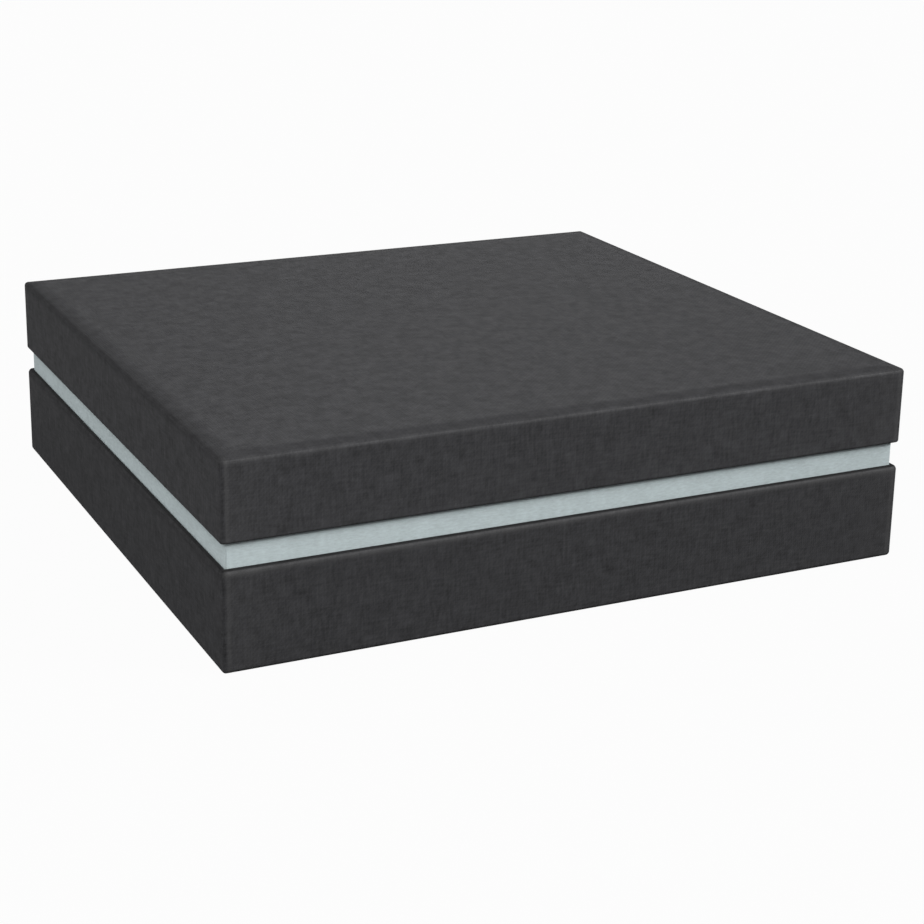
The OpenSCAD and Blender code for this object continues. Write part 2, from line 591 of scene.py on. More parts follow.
class LinenWeave(EffectGroup):
    """Threads of an embossed linen paper: their height, how light each one is, and the thick and thin places
    that run along them."""

    NAME = "linen_weave"
    INPUTS = {"Place": (VECTOR, 0.0), "Pitch": (FLOAT, 0.9), "Unevenness": (FLOAT, 0.3),
              "Slub Size": (FLOAT, 1.2), "Slub Length": (FLOAT, 7.0)}
    OUTPUTS = {"Height": FLOAT, "Thread": FLOAT, "Slub": FLOAT}
    DRIFT_SCALE, DRIFT_DETAIL = 0.35, 3.0  # how the threads wander
    WEFT_LAYER, LEVEL_LAYER = 11.0, 5.0  # set the noise of the second family apart from that of the first
    WEFT_SHARE = (0.35, 0.65)  # of the weft's tone, where the weft is on top and where the warp is
    LEVEL_SHARE = 0.42  # of the slubs that run level
    SLUB_ROUGHNESS = 0.6
    MIDDLE_RISE, RISE_SWING = 0.6, 0.4  # a thread's height as it goes over and under
    TONE_RATE, TONE_SCALE = 0.16, 0.83  # how fast a thread's tone changes along it, and from thread to thread

    def wire(self, w: Wiring, given: dict[str, Socket]) -> dict[str, Socket]:
        """Makes two families of round threads that pass over and under each other.

        Args:
            w: The group's wiring.
            given: Its inputs by name.

        Returns:
            The sockets of its outputs by name.
        """
        across, along, layer = w.split(given["Place"])
        wander = [w.math("MULTIPLY", part, self.DRIFT_SCALE) for part in (across, along)]
        drift = w.noise(w.join(*wander, layer), 1.0, self.DRIFT_DETAIL)
        push = w.math("MULTIPLY", w.math("SUBTRACT", drift, 0.5), given["Unevenness"])
        warp = w.math("ADD", w.math("DIVIDE", across, given["Pitch"]), push)
        weft = w.math("ADD", w.math("DIVIDE", along, given["Pitch"]), push)
        warp_height = self._threads(w, warp, weft, 0.0)
        weft_height = self._threads(w, weft, warp, 1.0)
        height = w.math("MAXIMUM", warp_height, weft_height)
        over = w.math("GREATER_THAN", warp_height, weft_height)
        warp_tone = self._tones(w, warp, along, layer)
        weft_tone = self._tones(w, weft, across, w.math("ADD", layer, self.WEFT_LAYER))
        thread = w.choose(over, *(w.choose(share, warp_tone, weft_tone) for share in self.WEFT_SHARE))
        short = [w.math("DIVIDE", part, given["Slub Size"]) for part in (across, along)]
        long = [w.math("DIVIDE", part, given["Slub Length"]) for part in (across, along)]
        upright = w.noise(w.join(short[0], long[1], layer), 1.0, roughness=self.SLUB_ROUGHNESS)
        level_layer = w.math("ADD", layer, self.LEVEL_LAYER)
        level = w.noise(w.join(long[0], short[1], level_layer), 1.0, roughness=self.SLUB_ROUGHNESS)
        return {"Height": height, "Thread": thread, "Slub": w.choose(self.LEVEL_SHARE, upright, level)}

    def _threads(self, w: Wiring, across: Socket, along: Socket, phase: float) -> Socket:
        """Height of one family of threads.

        Args:
            w: The group's wiring.
            across: Count of threads across the family.
            along: Count of threads along it.
            phase: 0 or 1, for the family that starts over and the one that starts under.

        Returns:
            The height, 0 to 1.
        """
        middle = w.math("SUBTRACT", w.math("MULTIPLY", w.math("FRACT", across), 2.0), 1.0)
        round_top = w.math("SUBTRACT", 1.0, w.math("MULTIPLY", middle, middle))
        turn = w.math("ADD", w.math("ADD", along, w.math("FLOOR", across)), phase)
        wave = w.math("COSINE", w.math("MULTIPLY", turn, math.pi))
        rise = w.math("ADD", self.MIDDLE_RISE, w.math("MULTIPLY", wave, self.RISE_SWING))
        return w.math("MULTIPLY", round_top, rise)

    def _tones(self, w: Wiring, across: Socket, along: Socket, layer: Socket) -> Socket:
        """How light each thread of a family is, changing slowly along it."""
        place = w.join(w.math("FLOOR", across), w.math("MULTIPLY", along, self.TONE_RATE), layer)
        return w.noise(place, self.TONE_SCALE, 1.0)


class PaperFibre(EffectGroup):
    """Cloudy tone and fine fibres of a sheet or a board."""

    NAME = "paper_fibre"
    INPUTS = {"Place": (VECTOR, 0.0), "Cloud Size": (FLOAT, 6.0), "Fibre Size": (FLOAT, 0.6),
              "Stretch": (FLOAT, 1.0)}
    OUTPUTS = {"Cloud": FLOAT, "Fibre": FLOAT}
    DETAIL = 3.0
    CLOUD_ROUGHNESS, FIBRE_ROUGHNESS = 0.6, 0.65

    def wire(self, w: Wiring, given: dict[str, Socket]) -> dict[str, Socket]:
        """Makes noise at two sizes, the fine one drawn out across the face.

        Args:
            w: The group's wiring.
            given: Its inputs by name.

        Returns:
            The sockets of its outputs by name.
        """
        cloud_scale = w.math("DIVIDE", 1.0, given["Cloud Size"])
        cloud = w.noise(given["Place"], cloud_scale, self.DETAIL, self.CLOUD_ROUGHNESS)
        across, along, layer = w.split(given["Place"])
        drawn = w.join(w.math("DIVIDE", across, given["Stretch"]), along, layer)
        fibre_scale = w.math("DIVIDE", 1.0, given["Fibre Size"])
        return {"Cloud": cloud, "Fibre": w.noise(drawn, fibre_scale, self.DETAIL, self.FIBRE_ROUGHNESS)}


class BoxPlace(EffectGroup):
    """How far a point lies from the flat faces of its own box, in millimetres."""

    NAME = "box_place"
    INPUTS = {"Solid Place": (VECTOR, 0.0), "Half Width": (FLOAT, 165.0), "Half Depth": (FLOAT, 154.0),
              "Low": (FLOAT, 0.0), "High": (FLOAT, 92.0)}
    OUTPUTS = dict.fromkeys(("From Side", "From Front", "Inset", "Below Top", "From Edge"), FLOAT)

    def wire(self, w: Wiring, given: dict[str, Socket]) -> dict[str, Socket]:
        """Makes three distances, and the sum of the two small ones, which is 0 on an edge.

        Args:
            w: The group's wiring.
            given: Its inputs by name.

        Returns:
            The sockets of its outputs by name.
        """
        x, y, z = w.split(given["Solid Place"])
        side = w.math("SUBTRACT", given["Half Width"], w.math("ABSOLUTE", x))
        front = w.math("SUBTRACT", given["Half Depth"], w.math("ABSOLUTE", y))
        below = w.math("SUBTRACT", given["High"], z)
        level = w.math("MINIMUM", w.math("SUBTRACT", z, given["Low"]), below)
        largest = w.math("MAXIMUM", w.math("MAXIMUM", side, front), level)
        edge = w.math("SUBTRACT", w.math("ADD", w.math("ADD", side, front), level), largest)
        inset = w.math("MINIMUM", side, front)
        return {"From Side": side, "From Front": front, "Inset": inset, "Below Top": below, "From Edge": edge}


class RaggedBand(EffectGroup):
    """Mask of a band of distances with an uneven outline, as rubbing leaves; it also outlines painted
    highlights.
    """

    NAME = "ragged_band"
    INPUTS = {"Distance": (FLOAT, 0.0), "Solid Place": (VECTOR, 0.0), "Start": (FLOAT, -1.0),
              "Rise": (FLOAT, 0.5), "End": (FLOAT, 2.0), "Fall": (FLOAT, 1.0)}
    OUTPUTS = {"Mask": FLOAT}
    SCALE, DETAIL, ROUGHNESS = 0.45, 3.0, 0.6
    NOISE_RANGE = (0.3, 0.7)
    STRENGTH_RANGE = (0.55, 1.3)

    def wire(self, w: Wiring, given: dict[str, Socket]) -> dict[str, Socket]:
        """Makes a mask that rises after the start and falls before the end, unevenly from place to place.

        Args:
            w: The group's wiring.
            given: Its inputs by name.

        Returns:
            The socket of its mask by name.
        """
        distance, start, end = given["Distance"], given["Start"], given["End"]
        ragged = w.noise(given["Solid Place"], self.SCALE, self.DETAIL, self.ROUGHNESS)
        uneven = w.spread(ragged, *self.NOISE_RANGE, *self.STRENGTH_RANGE)
        rise = w.spread(distance, start, w.math("ADD", start, given["Rise"]), smooth=True)
        fall = w.spread(distance, w.math("SUBTRACT", end, given["Fall"]), end, 1.0, 0.0, smooth=True)
        return {"Mask": w.math("MULTIPLY", w.math("MULTIPLY", rise, fall), uneven, clamp=True)}


FACE_PLACE = FacePlace()
LINEN_WEAVE = LinenWeave()
PAPER_FIBRE = PaperFibre()
BOX_PLACE = BoxPlace()
RAGGED_BAND = RaggedBand()


# ---- Finishes ----


PAINTED_SHADE_BLACK: Colour = (0.0, 0.0, 0.0)
WHITE: Colour = (1.0, 1.0, 1.0)


def new_material(name: str) -> tuple[bpy.types.Material, Wiring, bpy.types.Node]:
    """Starts a material.

    Args:
        name: Its name.

    Returns:
        The material, its wiring and its Principled BSDF.
    """
    material = bpy.data.materials.new(name)
    material.use_nodes = True
    wiring = Wiring(material.node_tree)
    shader = wiring.node("ShaderNodeBsdfPrincipled")
    output = wiring.node("ShaderNodeOutputMaterial")
    wiring.put(output.inputs["Surface"], shader.outputs["BSDF"])
    return material, wiring, shader


def add_relief(w: Wiring, shader: bpy.types.Node, height: Signal, depth: float,
               over: Socket | None = None) -> Socket:
    """Gives a shader a bump.

    Args:
        w: The material's wiring.
        shader: Its Principled BSDF.
        height: Height, 0 to 1.
        depth: Height of 1, in millimetres.
        over: Normal of a coarser bump that this one lies on, if any.

    Returns:
        The bumped normal.
    """
    bump = w.node("ShaderNodeBump")
    bump.inputs["Strength"].default_value = 1.0
    bump.inputs["Distance"].default_value = depth * MM
    w.put(bump.inputs["Height"], height)
    if over is not None:
        w.put(bump.inputs["Normal"], over)
    w.put(shader.inputs["Normal"], bump.outputs["Normal"])
    return bump.outputs["Normal"]


@dataclass(frozen=True)
class Band:
    """Distances in millimetres between which paper is worn, lighter or given a painted highlight, and how
    softly the band starts and ends.
    """

    start: float
    rise: float
    end: float
    fall: float

    def mask(self, w: Wiring, distance: Signal, place: Signal) -> Socket:
        """The band's ragged mask over a distance."""
        return w.group(RAGGED_BAND, Distance=distance, Solid_Place=place, Start=self.start, Rise=self.rise,
                       End=self.end, Fall=self.fall)["Mask"]


@dataclass(frozen=True)
class TexturedWrapFinish:
    """Charcoal paper embossed with a linen weave.

    It is a little worn along its edges and at its top corners' tips. On the front and back it is lighter in a
    band beside the lap's cut edge and faintly lighter towards the corners, and a highlight is painted below
    the top edge.
    Its tone is calmer where it lies level. A lid's panel sinks towards its edges. Shade is painted along the
    top edges of the left and right sides, on the strip along a lid's top edges and inside a rim where it
    turns in. The widths of the sink and of the rim's painted shade are 0 where there is no such thing, and no
    sink leaves out the strip's painted shade. Distances are in millimetres.
    """

    # The box that the paper goes round.
    name: str
    half_w: float
    half_d: float
    low: float
    high: float

    # Colours, and what makes the tone vary between them.
    # Scale of all its colours, painted light that sets the base's paper darker than the lid's though both are
    # one paper.
    shade: float = 1.0
    dark: Colour = (0.0070, 0.0070, 0.0078)
    light: Colour = (0.0555, 0.0555, 0.0595)
    wear_and_highlight: Colour = (0.0600, 0.0596, 0.0608)
    pitch: float = 1.1
    unevenness: float = 0.6
    relief: float = 0.06
    cloud_size: float = 6.0
    thread_range: tuple[float, float] = (0.25, 0.75)
    soft_range: tuple[float, float] = (0.34, 0.66)
    height_range: tuple[float, float] = (0.0, 0.7)
    thread_share: float = 0.25
    slub_share: float = 0.45
    cloud_share: float = 0.2
    height_share: float = 0.1
    level_range: tuple[float, float] = (0.35, 0.65)
    level_calm: float = 0.45

    # Where it is worn, where it is lighter, where a highlight is painted, and how strongly.
    edge_band: Band = Band(-1.0, 0.5, 1.8, 1.8)
    # Lighter bands on the front and back: beside the lap's cut edge, and faintly towards the corners.
    lap_band: Band = Band(2.0, 0.3, 4.6, 1.6)
    flap_band: Band = Band(2.2, 1.0, 30.0, 22.0)
    # A painted highlight below the top edge of the front and back.
    rim_highlight_band: Band = Band(0.4, 0.6, 4.0, 1.8)
    tip_reach: tuple[float, float] = (1.5, 6.0)
    edge_wear: float = 0.03
    # Strengths of the lighter bands beside the lap and towards the corners.
    lap_lightening: float = 0.45
    flap_lightening: float = 0.12
    # Strength of the painted highlight below the top edge.
    rim_highlight: float = 0.13
    tip_wear: float = 0.25

    # Painted shade along the top edges of the left and right sides, inside a rim and on the strip along a
    # lid's edges.
    side_top_shade_reach: float = 6.0
    side_top_painted_shade: float = 0.5
    rim_shade_from: float = 0.0
    rim_shade_rise: float = 0.7
    rim_shade_below: tuple[float, float] = (1.0, 4.0)
    rim_painted_shade: float = 0.75
    sink_width: float = 0.0
    sink_ease: float = 1.4
    sink_slope: float = 0.16
    side_strip: float = 1.45
    strip_fade: tuple[float, float] = (2.0, 1.5)
    strip_shade: float = 0.16

    # How it shines.
    roughness: float = 0.62
    rough_swing: float = 0.09
    edge_reach: tuple[float, float] = (1.0, 4.0)
    edge_roughness: float = 0.12
    painted_shade_roughness: float = 0.3
    specular: float = 0.35

    def _tone(self, w: Wiring, face: dict[str, Socket], weave: dict[str, Socket]) -> Socket:
        """How light the paper is, before wear, painted highlight and painted shade.

        Args:
            w: The material's wiring.
            face: Outputs of the face_place group.
            weave: Outputs of the linen_weave group.

        Returns:
            The tone, 0 to 1.
        """
        fibre = w.group(PAPER_FIBRE, Place=face["Solid Place"], Cloud_Size=self.cloud_size)
        cloud = w.spread(fibre["Cloud"], *self.soft_range)
        woven = w.weighted(
            (w.spread(weave["Thread"], *self.thread_range), self.thread_share),
            (w.spread(weave["Slub"], *self.soft_range), self.slub_share),
            (cloud, self.cloud_share),
            (w.spread(weave["Height"], *self.height_range), self.height_share),
        )
        calm = w.spread(cloud, 0.0, 1.0, *self.level_range)
        return w.choose(w.math("MULTIPLY", face["Level"], self.level_calm), woven, calm)

    def _wear_and_highlight_mask(self, w: Wiring, face: dict[str, Socket], box: dict[str, Socket]) -> Socket:
        """Where the paper is worn, lighter, or given a painted highlight below the top edge.

        Args:
            w: The material's wiring.
            face: Outputs of the face_place group.
            box: Outputs of the box_place group.

        Returns:
            The mask.
        """
        place = face["Solid Place"]
        standing = w.math("SUBTRACT", 1.0, face["Level"])
        on_long_wall = w.math("MULTIPLY", standing, w.math("SUBTRACT", 1.0, face["Facing Side"]))
        # Lighter bands beside the lap and towards the corners, and a painted highlight below the top edge.
        long_wall = w.weighted(
            (self.lap_band.mask(w, box["From Side"], place), self.lap_lightening),
            (self.flap_band.mask(w, box["From Side"], place), self.flap_lightening),
            (self.rim_highlight_band.mask(w, box["Below Top"], place), self.rim_highlight),
        )
        from_tip = w.math("ADD", w.math("ADD", box["From Side"], box["From Front"]), box["Below Top"])
        return w.weighted(
            (self.edge_band.mask(w, box["From Edge"], place), self.edge_wear),
            (w.spread(from_tip, *self.tip_reach, 1.0, 0.0, smooth=True), self.tip_wear),
            (w.math("MULTIPLY", long_wall, on_long_wall), 1.0),
        )

    def _painted_shade_mask(self, w: Wiring, face: dict[str, Socket], box: dict[str, Socket]) -> Socket:
        """Painted shade along the top edges of the left and right sides, inside a rim and on a lid's sinking
        strip.

        Args:
            w: The material's wiring.
            face: Outputs of the face_place group.
            box: Outputs of the box_place group.

        Returns:
            The painted shade, 0 to 1.
        """
        side, front, below = box["From Side"], box["From Front"], box["Below Top"]
        # Painted shade along the top edges of the left and right sides.
        fold = w.math("ADD", side, below)
        painted_shade = w.spread(fold, 0.0, self.side_top_shade_reach, self.side_top_painted_shade, 0.0, smooth=True)
        # Painted shade inside the base's rim, where it turns in.
        if self.rim_shade_from:
            rim_shade_to = self.rim_shade_from + self.rim_shade_rise
            inside = w.spread(box["Inset"], self.rim_shade_from, rim_shade_to, 0.0, self.rim_painted_shade, smooth=True)
            inside = w.math("MULTIPLY", inside, w.spread(below, *self.rim_shade_below, 1.0, 0.0))
            painted_shade = w.math("MAXIMUM", painted_shade, inside)
        # Painted shade on the strip along a lid's top edges.
        if self.sink_width:
            inset = w.math("MINIMUM", w.math("MULTIPLY", side, self.side_strip), front)
            low, high = self.sink_width - self.strip_fade[0], self.sink_width + self.strip_fade[1]
            strip = w.spread(inset, low, high, self.strip_shade, 0.0, smooth=True)
            painted_shade = w.math("MAXIMUM", painted_shade, w.math("MULTIPLY", face["Level"], strip))
        return painted_shade

    def _sink(self, w: Wiring, shader: bpy.types.Node, face: dict[str, Socket],
              box: dict[str, Socket]) -> Socket:
        """Bends the panel's normals down towards its edges.

        Args:
            w: The material's wiring.
            shader: The material's Principled BSDF.
            face: Outputs of the face_place group.
            box: Outputs of the box_place group.

        Returns:
            The bent normal.
        """
        beyond = w.math("SUBTRACT", self.sink_width, box["Inset"])
        root = w.math("SQRT", w.math("ADD", w.math("MULTIPLY", beyond, beyond), self.sink_ease))
        eased = w.math("MULTIPLY", 0.5, w.math("ADD", beyond, root))
        fall = w.math("MULTIPLY", w.math("MULTIPLY", eased, face["Level"]), -self.sink_slope)
        return add_relief(w, shader, fall, depth=1.0)

    def _shaded(self, colour: Colour) -> Colour:
        """A colour of this paper, scaled by painted light that sets the base darker and the lid lighter."""
        return colour[0] * self.shade, colour[1] * self.shade, colour[2] * self.shade

    def build(self) -> bpy.types.Material:
        """Makes the material.

        Returns:
            The material.
        """
        material, w, shader = new_material(self.name)
        face = w.group(FACE_PLACE)
        box = w.group(BOX_PLACE, Solid_Place=face["Solid Place"], Half_Width=self.half_w,
                      Half_Depth=self.half_d, Low=self.low, High=self.high)
        weave = w.group(LINEN_WEAVE, Place=face["Place"], Pitch=self.pitch, Unevenness=self.unevenness)
        tone = self._tone(w, face, weave)
        painted_shade = self._painted_shade_mask(w, face, box)
        # The colours are scaled by painted light.
        paper = w.blend(tone, self._shaded(self.dark), self._shaded(self.light))
        # Worn edges and tips, the lighter bands by the corners and the painted highlight below the top edge.
        paper = w.blend(self._wear_and_highlight_mask(w, face, box), paper, self._shaded(self.wear_and_highlight))
        # Painted shade darkens the paper towards black.
        w.put(shader.inputs["Base Color"], w.blend(painted_shade, paper, PAINTED_SHADE_BLACK))
        swing = self.rough_swing
        rough = w.spread(tone, 0.0, 1.0, self.roughness + swing, self.roughness - swing)
        soft_edge = w.spread(box["From Edge"], *self.edge_reach, self.edge_roughness, 0.0, smooth=True)
        rough = w.math("ADD", rough, soft_edge)
        # The paper is rougher where shade is painted.
        rough = w.math("ADD", rough, w.math("MULTIPLY", painted_shade, self.painted_shade_roughness))
        w.put(shader.inputs["Roughness"], rough)
        w.put(shader.inputs["Specular IOR Level"], self.specular)
        sunk = self._sink(w, shader, face, box) if self.sink_width else None
        add_relief(w, shader, weave["Height"], self.relief, sunk)
        return material


@dataclass(frozen=True)
class PlainFinish:
    """Paper, board or tape with a faint cloudiness and fibres, which may be drawn out round the form.

    Sizes and the relief are in millimetres. The two parts of rough_swing are how much rougher the darkest
    places are and how much smoother the lightest ones.
    """

    name: str
    dark: Colour
    light: Colour
    cloud_size: float = 7.0
    fibre_size: float = 0.5
    stretch: float = 3.0
    relief: float = 0.01
    roughness: float = 0.7
    rough_swing: tuple[float, float] = (0.06, 0.06)
    specular: float = 0.35
    fibre_share: float = 0.5
    fibre_range: tuple[float, float] = (0.3, 0.7)
    cloud_range: tuple[float, float] = (0.3, 0.7)

    def build(self) -> bpy.types.Material:
        """Makes the material.

        Returns:
            The material.
        """
        material, w, shader = new_material(self.name)
        face = w.group(FACE_PLACE)
        noise = w.group(PAPER_FIBRE, Place=face["Place"], Cloud_Size=self.cloud_size,
                        Fibre_Size=self.fibre_size, Stretch=self.stretch)
        fibre = w.spread(noise["Fibre"], *self.fibre_range)
        cloud = w.spread(noise["Cloud"], *self.cloud_range)
        tone = w.weighted((fibre, self.fibre_share), (cloud, 1.0 - self.fibre_share))
        w.put(shader.inputs["Base Color"], w.blend(tone, self.dark, self.light))
        rough, smooth = self.roughness + self.rough_swing[0], self.roughness - self.rough_swing[1]
        w.put(shader.inputs["Roughness"], w.spread(tone, 0.0, 1.0, rough, smooth))
        w.put(shader.inputs["Specular IOR Level"], self.specular)
        add_relief(w, shader, fibre, self.relief)
        return material


@dataclass(frozen=True)
class FloorFinish:
    """Plain white sweep. The camera sees it almost evenly lit, as on a light table, and the box is lit by it
    as by pale paper."""

    name: str = "pale_floor"
    paper: Colour = (0.12, 0.12, 0.12)
    roughness: float = 0.9
    specular: float = 0.1
    glow: float = 1.02
    even_share: float = 0.95

    def build(self) -> bpy.types.Material:
        """Makes the material.

        Returns:
            The material.
        """
        material, w, shader = new_material(self.name)
        w.put(shader.inputs["Base Color"], self.paper)
        w.put(shader.inputs["Roughness"], self.roughness)
        w.put(shader.inputs["Specular IOR Level"], self.specular)
        glow = w.node("ShaderNodeEmission")
        w.put(glow.inputs["Strength"], self.glow)
        path = w.node("ShaderNodeLightPath")
        mix = w.node("ShaderNodeMixShader")
        w.put(mix.inputs[0], w.math("MULTIPLY", path.outputs["Is Camera Ray"], self.even_share))
        w.put(mix.inputs[1], shader.outputs["BSDF"])
        w.put(mix.inputs[2], glow.outputs[0])
        output = next(node for node in material.node_tree.nodes if node.type == "OUTPUT_MATERIAL")
        w.put(output.inputs["Surface"], mix.outputs[0])
        return material


NECK_PAPER = PlainFinish(
    Slot.NECK_PAPER.value, (0.408, 0.471, 0.480), (0.583, 0.670, 0.684), cloud_size=9.0, fibre_size=0.85,
    stretch=3.2, relief=0.012, roughness=0.5, rough_swing=(0.08, 0.05), specular=0.4, fibre_share=0.7,
    fibre_range=(0.28, 0.72),
)
LINING = PlainFinish(Slot.LINING_PAPER.value, (0.47, 0.52, 0.53), (0.54, 0.60, 0.61))
GREYBOARD = PlainFinish(
    Slot.GREYBOARD.value, (0.20, 0.18, 0.155), (0.34, 0.31, 0.27), cloud_size=2.2, fibre_size=0.35,
    stretch=2.0, relief=0.05, roughness=0.85,
)
TAPE = PlainFinish(
    Slot.STAY_TAPE.value, (0.52, 0.46, 0.38), (0.62, 0.56, 0.47), cloud_size=5.0, fibre_size=0.4,
    stretch=6.0, relief=0.015, roughness=0.6,
)


def dress_nodes(names: Sequence[str], material: bpy.types.Material) -> None:
    """Gives CAD nodes a material.

    Args:
        names: The nodes' names.
        material: What they are finished with.
    """
    for name in names:
        node = frame["nodes"][name]
        if not node.material_slots:
            node.data.materials.append(material)
        for slot in node.material_slots:
            slot.material = material
        LOG.info("%s: frame node finished in %s", name, material.name)


# ---- The three sub-assemblies ----


@dataclass
class Wall:
    """How paper and board follow each other through a tray's wall, as distances in from the outside face."""

    board_in: float
    board_out: float
    paper_face: float = 0.1
    glue_gap: float = 0.01
    turned_paper: float = 0.15

    @property
    def glued_face(self) -> float:
        """Inset of the paper's glued face on the outside of the board."""
        return self.board_in - self.glue_gap

    @property
    def turned_face(self) -> float:
        """Inset of the visible face of the paper turned in over the rim."""
        return self.board_out + self.turned_paper


@dataclass
class TrayWrap:
    """The paper of a tray: one panel, four walls, folded over the rim and glued down inside.

    Heights run from the rim towards the panel, so that one class makes the base's paper and the lid's. The
    strip is the outer part of a lid's panel, which falls towards the edge, and the ridge is a low swelling
    beside it. The seam is where a long panel's cut edge lies over the corner's flap, and the ear is that
    flap. A hold is how far past a fold the next line lies, which keeps the face behind it flat.
    """

    name: str
    half_w: float
    half_d: float
    rim_z: float
    toward_panel: int
    depth: float
    turn_in: float
    wall: Wall
    rim_r: float
    panel_gap: float
    edge_r: float = 2.0
    inner_rim_r: float = 0.4
    strip: float = 0.0
    strip_angle: float = 3.0
    strip_ease: float = 1.2
    strip_from: float = 1.0
    strip_past: float = 6.0
    strip_pitch: float = 0.7
    ridge: float = 0.0
    ridge_width: float = 1.8
    seam: float = 2.2
    seam_step: float = 0.06
    lip: float = 2.0
    ear: float = 14.0
    ear_fade: float = 1.2
    lap_share: float = 0.5
    rim_laps: tuple[float, float] = (0.3, 1.0)
    hold: float = 0.4
    edge_hold: float = 1.2
    crown_ease: float = 0.05
    flat_past_strip: float = 8.0
    flat_past_edge: float = 10.0
    corner_mark: float = 8.0
    panel_pitch: float = 12.0
    fold_steps: int = 8

    def _z(self, height: float) -> float:
        """The frame's height of a height above the rim."""
        return self.rim_z + self.toward_panel * height

    def relief(self, side: Side, place: float) -> float:
        """Thickness of the corner flap under a long panel, with the panel's cut edge standing up at its seam.

        Args:
            side: The side.
            place: Where along it, from its middle.

        Returns:
            How far the paper stands out there, in millimetres.
        """
        from_seam = self.half_w - abs(place) - self.seam
        if not side.is_long or from_seam < 0.0:
            return 0.0
        lip = max(0.0, 1.0 - from_seam / self.lip)
        flap = max(0.0, min(1.0, (self.ear + self.ear_fade - self.seam - from_seam) / self.ear_fade))
        return self.wall.paper_face * self.lap_share * (lip + flap)

    def _columns(self, half: float, marks: Sequence[float]) -> list[float]:
        """Places of the columns along one side.

        Args:
            half: Half of the side's length.
            marks: Extra places, as distances from the side's end.

        Returns:
            The sorted places, the same on both halves.
        """
        ends = [self.edge_r, *marks]
        inner = half - max(ends) - self.panel_pitch
        places = even(-inner, inner, self.panel_pitch)
        for mark in ends:
            places += [mark - half, half - mark]
        return sorted(set(places))

    def _panel_fall(self, inset: float) -> float:
        """How far the panel's face lies under its flat middle at an inset.

        Args:
            inset: Distance in from the outside face.

        Returns:
            The fall in millimetres, below 0 on the low ridge inside the strip.
        """
        beyond = self.edge_r + self.strip - inset
        eased = 0.5 * (beyond + math.hypot(beyond, self.strip_ease))
        from_ridge = (beyond + self.ridge_width) / self.ridge_width
        bump = self.ridge * math.exp(-(from_ridge ** 2))
        return (math.tan(math.radians(self.strip_angle)) * eased if self.strip else 0.0) - bump

    def _rim_round(self, radii: tuple[float, float], from_inset: float,
                   laps: tuple[float, float] = (0.0, 0.0)) -> list[Line]:
        """The outside of the fold over the rim.

        Args:
            radii: The round's radius across the insets and across the heights.
            from_inset: Where the fold's inside ends, which may be past the round's own axis.
            laps: Share of the lap that shows on the first line and on the last one.

        Returns:
            Its lines, from the inside out.
        """
        lean = math.degrees(math.asin(max(0.0, self.rim_r - from_inset) / radii[0]))
        return arc((self.rim_r, self.rim_r), radii, -90 - lean, -180, self.fold_steps, laps)

    def _outer_lines(self) -> tuple[list[Line], float]:
        """The visible skin, from the turned-in edge to the panel.

        Returns:
            Its lines with heights above the rim, and the inset of the panel's flat part.
        """
        wall, edge, hold = self.wall, self.edge_r, self.hold
        fold = self.inner_rim_r
        face = wall.turned_face
        radii = (self.rim_r - wall.paper_face, self.rim_r)
        rim_round = self._rim_round(radii, face - fold, self.rim_laps)
        crown = rim_round[0].z
        lines = [Line(face, h) for h in (self.turn_in, self.turn_in - hold, crown + fold + hold)]
        lines += arc((face - fold, crown + fold), (fold, fold), 0, -90, self.fold_steps // 2)
        if rim_round[0].inset < face - fold:
            lines.append(Line(rim_round[0].inset + self.crown_ease, 0.0))
        else:
            lines.pop()
        lines += rim_round
        wall_ends = (self.rim_r + hold, self.depth - edge - self.edge_hold)
        lines += [Line(wall.paper_face, h, 1.0) for h in wall_ends]
        skin_r = edge - wall.paper_face
        top = self.depth - self.panel_gap
        if self.strip:
            centre = self.depth - self.cad_fall() - edge
            end_angle = 90 + self.strip_angle
            lines += arc((edge, centre), (skin_r, skin_r), 180, end_angle, self.fold_steps, (1.0, 0.0))
            strip_end = edge + self.strip + self.strip_past
            insets = [edge + hold, *even(edge + self.strip_from, strip_end, self.strip_pitch)]
            lines += [Line(i, top - self._panel_fall(i)) for i in insets]
            flat = edge + self.strip + self.flat_past_strip
        else:
            radii = (skin_r, edge - self.panel_gap)
            lines += arc((edge, self.depth - edge), radii, 180, 90, self.fold_steps, (1.0, 0.0))
            lines.append(Line(edge + hold, top))
            flat = edge + self.flat_past_edge
        lines.append(Line(flat, top))
        return lines, flat

    def cad_fall(self) -> float:
        """How far the frame's rounded edge starts below the flat panel, as the part's strip makes it.

        Returns:
            The fall in millimetres.
        """
        angle = math.radians(self.strip_angle)
        run = self.strip + self.edge_r * math.sin(angle)
        return math.tan(angle) * run - self.edge_r * (1 - math.cos(angle))

    def _glued_lines(self) -> tuple[list[Line], float]:
        """The skin against the board, from the turned-in edge to the panel.

        Returns:
            Its lines with heights above the rim, and the inset of the panel's flat part.
        """
        wall, edge = self.wall, self.edge_r
        inner = wall.board_out + wall.glue_gap
        depth = wall.glued_face
        rim_round = self._rim_round((self.rim_r - depth,) * 2, inner)
        lines = [Line(inner, self.turn_in), Line(inner, rim_round[0].z), *rim_round]
        angle = self.strip_angle if self.strip else 0.0
        fall = self.cad_fall() if self.strip else 0.0
        lines += arc((edge, self.depth - fall - edge), (edge - depth,) * 2, 180, 90 + angle, self.fold_steps)
        flat = edge + max(self.strip, self.flat_past_strip)
        lines.append(Line(flat, self.depth - depth))
        return lines, flat

